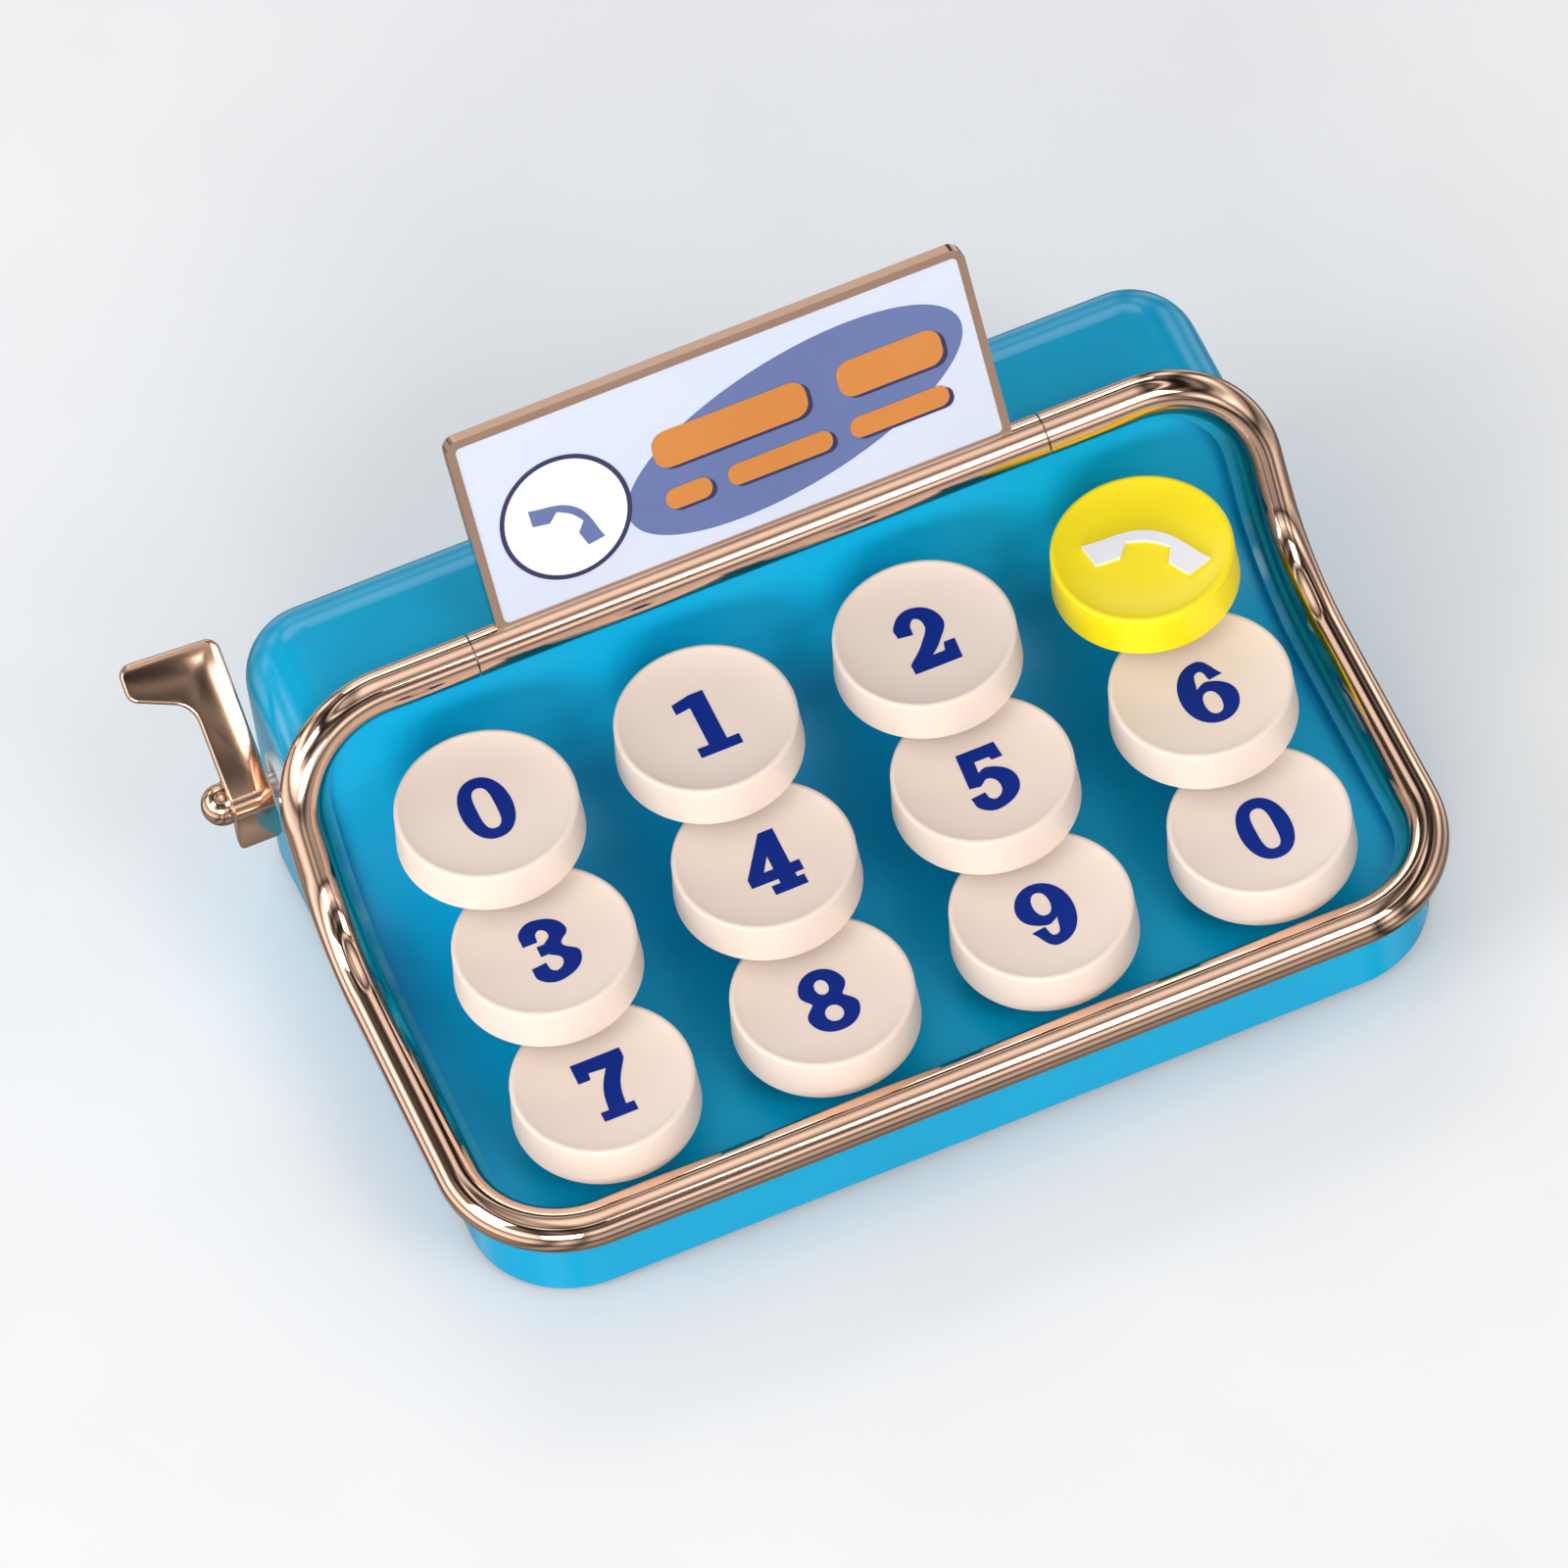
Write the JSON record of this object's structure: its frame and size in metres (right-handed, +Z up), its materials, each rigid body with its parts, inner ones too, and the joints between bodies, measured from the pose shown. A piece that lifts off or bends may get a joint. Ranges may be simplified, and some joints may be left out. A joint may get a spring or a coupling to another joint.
{
  "type": "toy phone",
  "caption": "Toy push-button phone shaped like a small typewriter, with a stepped keypad in a bent tube frame, a sign plate that tilts and a side lever that springs back.",
  "frame": {"origin": "middle of the underside of the anti-slip pad, on the table, under the middle of the housing", "axes": "+X to the right along the rows of keys, +Y from the front row to the back, +Z up"},
  "size_m": [0.1194, 0.0742, 0.059],
  "materials": {
    "housing_turquoise": "glossy moulded ABS, turquoise",
    "deck_turquoise": "glossy moulded ABS, turquoise",
    "trim_rose_gold": "mirror-bright rose-gold plating on ABS",
    "lever_rose_gold": "polished rose-gold plating on ABS",
    "key_ivory": "glossy warm ivory with a deep blue printed digit",
    "key_yellow": "glossy yellow with a white printed handset icon",
    "stem_grey": "self-coloured acetal",
    "base_teal": "fine-textured ABS",
    "pad_rubber": "matt synthetic rubber",
    "board_green": "glass-epoxy board with solder mask",
    "silicone": "translucent silicone",
    "chip_black": "moulded epoxy",
    "speaker_black": "steel basket and magnet",
    "cell_jacket": "plain printed foil jacket",
    "inner_white": "self-coloured ABS",
    "steel": "zinc-plated steel",
    "card": null
  },
  "bodies": {
    "housing": {"body_shell": "housing_turquoise", "deck_panel": "deck_turquoise", "trim_frame": "trim_rose_gold", "base_plate": "base_teal", "anti_slip_pad": "pad_rubber", "base_screws": "steel", "circuit_board": "board_green", "board_screws": "steel", "keypad_mat": "silicone", "sound_chip": "chip_black", "speaker": "speaker_black", "battery_holder": "inner_white", "battery_cell_lower": "cell_jacket", "battery_cell_upper": "cell_jacket", "battery_contacts": "steel", "battery_door": "housing_turquoise", "door_screw": "steel", "lever_bush": "inner_white", "lever_bracket": "inner_white", "lever_switch": "chip_black", "lever_spring": "steel"},
    "lever": {"lever_plate": "lever_rose_gold", "lever_shaft": "steel", "ball_nut": "lever_rose_gold", "lever_cam": "inner_white"},
    "sign": {"sign_bar": "trim_rose_gold", "sign_holder": "trim_rose_gold", "sign_card": "card", "sign_pins": "steel"},
    "key_0": {"key_0_cap": "key_ivory", "key_0_stem": "stem_grey"},
    "key_1": {"key_1_cap": "key_ivory", "key_1_stem": "stem_grey"},
    "key_2": {"key_2_cap": "key_ivory", "key_2_stem": "stem_grey"},
    "key_call": {"key_call_cap": "key_yellow", "key_call_stem": "stem_grey"},
    "key_3": {"key_3_cap": "key_ivory", "key_3_stem": "stem_grey"},
    "key_4": {"key_4_cap": "key_ivory", "key_4_stem": "stem_grey"},
    "key_5": {"key_5_cap": "key_ivory", "key_5_stem": "stem_grey"},
    "key_6": {"key_6_cap": "key_ivory", "key_6_stem": "stem_grey"},
    "key_7": {"key_7_cap": "key_ivory", "key_7_stem": "stem_grey"},
    "key_8": {"key_8_cap": "key_ivory", "key_8_stem": "stem_grey"},
    "key_9": {"key_9_cap": "key_ivory", "key_9_stem": "stem_grey"},
    "key_0_front": {"key_0_front_cap": "key_ivory", "key_0_front_stem": "stem_grey"}
  },
  "joints": [
    {"name": "key_0_press", "type": "slide", "parent": "housing", "child": "key_0", "axis": [0, 0, -1], "range_m": [0, 0.0008], "stiffness_N_per_m": 300, "springref_m": -0.0004, "deforming": ["keypad_mat"]},
    {"name": "key_1_press", "type": "slide", "parent": "housing", "child": "key_1", "axis": [0, 0, -1], "range_m": [0, 0.0008], "stiffness_N_per_m": 300, "springref_m": -0.0004, "deforming": ["keypad_mat"]},
    {"name": "key_2_press", "type": "slide", "parent": "housing", "child": "key_2", "axis": [0, 0, -1], "range_m": [0, 0.0008], "stiffness_N_per_m": 300, "springref_m": -0.0004, "deforming": ["keypad_mat"]},
    {"name": "key_call_press", "type": "slide", "parent": "housing", "child": "key_call", "axis": [0, 0, -1], "range_m": [0, 0.0008], "stiffness_N_per_m": 300, "springref_m": -0.0004, "deforming": ["keypad_mat"]},
    {"name": "key_3_press", "type": "slide", "parent": "housing", "child": "key_3", "axis": [0, 0, -1], "range_m": [0, 0.0008], "stiffness_N_per_m": 300, "springref_m": -0.0004, "deforming": ["keypad_mat"]},
    {"name": "key_4_press", "type": "slide", "parent": "housing", "child": "key_4", "axis": [0, 0, -1], "range_m": [0, 0.0008], "stiffness_N_per_m": 300, "springref_m": -0.0004, "deforming": ["keypad_mat"]},
    {"name": "key_5_press", "type": "slide", "parent": "housing", "child": "key_5", "axis": [0, 0, -1], "range_m": [0, 0.0008], "stiffness_N_per_m": 300, "springref_m": -0.0004, "deforming": ["keypad_mat"]},
    {"name": "key_6_press", "type": "slide", "parent": "housing", "child": "key_6", "axis": [0, 0, -1], "range_m": [0, 0.0008], "stiffness_N_per_m": 300, "springref_m": -0.0004, "deforming": ["keypad_mat"]},
    {"name": "key_7_press", "type": "slide", "parent": "housing", "child": "key_7", "axis": [0, 0, -1], "range_m": [0, 0.0008], "stiffness_N_per_m": 300, "springref_m": -0.0004, "deforming": ["keypad_mat"]},
    {"name": "key_8_press", "type": "slide", "parent": "housing", "child": "key_8", "axis": [0, 0, -1], "range_m": [0, 0.0008], "stiffness_N_per_m": 300, "springref_m": -0.0004, "deforming": ["keypad_mat"]},
    {"name": "key_9_press", "type": "slide", "parent": "housing", "child": "key_9", "axis": [0, 0, -1], "range_m": [0, 0.0008], "stiffness_N_per_m": 300, "springref_m": -0.0004, "deforming": ["keypad_mat"]},
    {"name": "key_0_front_press", "type": "slide", "parent": "housing", "child": "key_0_front", "axis": [0, 0, -1], "range_m": [0, 0.0008], "stiffness_N_per_m": 300, "springref_m": -0.0004, "deforming": ["keypad_mat"]},
    {"name": "lever_pull", "type": "hinge", "parent": "housing", "child": "lever", "pos_m": [-0.055, 0.02055, 0.0237], "axis": [1, 0, 0], "range_deg": [0, 30], "stiffness_Nm_per_rad": 0.002, "springref_deg": -14.32, "deforming": ["lever_spring"]},
    {"name": "sign_tilt", "type": "hinge", "parent": "housing", "child": "sign", "pos_m": [0, 0.01745, 0.0362], "axis": [1, 0, 0], "range_deg": [-50, 0]}
  ]
}
